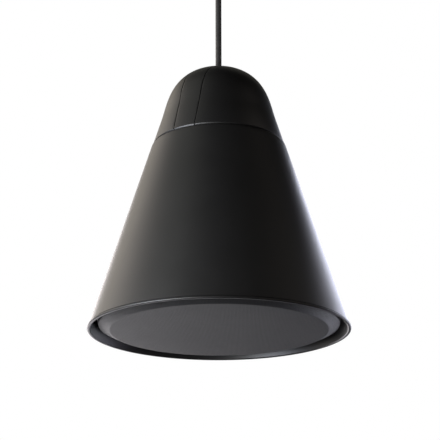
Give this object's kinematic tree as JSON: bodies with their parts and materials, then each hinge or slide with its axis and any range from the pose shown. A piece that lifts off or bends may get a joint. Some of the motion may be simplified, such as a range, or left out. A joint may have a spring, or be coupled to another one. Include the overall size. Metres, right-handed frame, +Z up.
{
  "type": "pendant speaker",
  "caption": "Black cone-shaped pendant loudspeaker with a domed cap, a perforated grille under its rim, and a cord that hangs it from a round ceiling canopy.",
  "frame": {"origin": "centre of the ceiling plate's upper face, on the ceiling, with the speaker hanging below it", "axes": "+Z up along the cord and the cone's axis; the strip over the domed cap runs in the YZ plane, and the two ceiling screws lie on X"},
  "size_m": [0.3014, 0.3014, 0.494],
  "materials": {
    "shell_black": "satin moulded black",
    "fitting_black": "satin black",
    "zinc_steel": "zinc plated",
    "cord_jacket": "matt black jacket",
    "terminal_green": "moulded green",
    "switch_grey": "moulded grey",
    "core_steel": "laminated, varnished",
    "copper": "enamelled wire",
    "board_green": "solder resist",
    "nylon": "natural",
    "film_brown": "dipped",
    "ceramic": "fired",
    "foam_grey": "closed cell",
    "basket_grey": "powder coated",
    "paper_black": "coated paper",
    "roll_rubber": "matt",
    "spider_cloth": "resin treated weave",
    "ferrite": "sintered",
    "dome_silk": "doped silk",
    "lead_red": "jacketed pair",
    "grille_black": "powder coated, perforated",
    "cloth_black": "open weave"
  },
  "bodies": {
    "hung_unit": {"ceiling_plate": "zinc_steel", "ceiling_stem": "zinc_steel", "ceiling_canopy": "fitting_black", "canopy_nut": "fitting_black", "suspension_cord": "cord_jacket", "top_gland": "fitting_black", "gland_nut": "zinc_steel", "cord_ferrule": "zinc_steel", "feed_lead": "cord_jacket", "hanger_bracket": "zinc_steel", "bracket_screws": "zinc_steel", "cap_strip": "shell_black", "cap_cover_left": "shell_black", "cap_cover_right": "shell_black", "terminal_block": "terminal_green", "terminal_screws": "zinc_steel", "tap_switch": "switch_grey", "housing": "shell_black", "transformer_core": "core_steel", "transformer_winding": "copper", "transformer_strap": "zinc_steel", "crossover_board": "board_green", "board_standoffs": "nylon", "inductors": "copper", "capacitors": "film_brown", "resistors": "ceramic", "baffle": "shell_black", "baffle_gasket": "foam_grey", "baffle_screws": "zinc_steel", "port_left": "shell_black", "port_right": "shell_black", "woofer_basket": "basket_grey", "woofer_gasket": "foam_grey", "woofer_screws": "zinc_steel", "woofer_surround": "roll_rubber", "woofer_spider": "spider_cloth", "front_plate": "zinc_steel", "ferrite_magnet": "ferrite", "back_plate": "zinc_steel", "tweeter_post": "zinc_steel", "tweeter_can": "basket_grey", "tweeter_face": "fitting_black", "tweeter_dome": "dome_silk", "driver_lead": "lead_red", "grille": "grille_black", "grille_cloth": "cloth_black", "grille_magnets": "zinc_steel"},
    "woofer_moving": {"woofer_cone": "paper_black", "voice_coil": "copper"},
    "tap_selector": {"tap_knob": "fitting_black", "tap_shaft": "zinc_steel"}
  },
  "joints": [
    {"name": "woofer_travel", "type": "slide", "parent": "hung_unit", "child": "woofer_moving", "axis": [0, 0, 1], "range_m": [-0.003, 0.003], "stiffness_N_per_m": 2000, "deforming": ["woofer_surround", "woofer_spider"]},
    {"name": "tap_select", "type": "hinge", "parent": "hung_unit", "child": "tap_selector", "pos_m": [0.042, 0, -0.2683], "axis": [0, 0, 1], "range_deg": [-75, 75]}
  ]
}
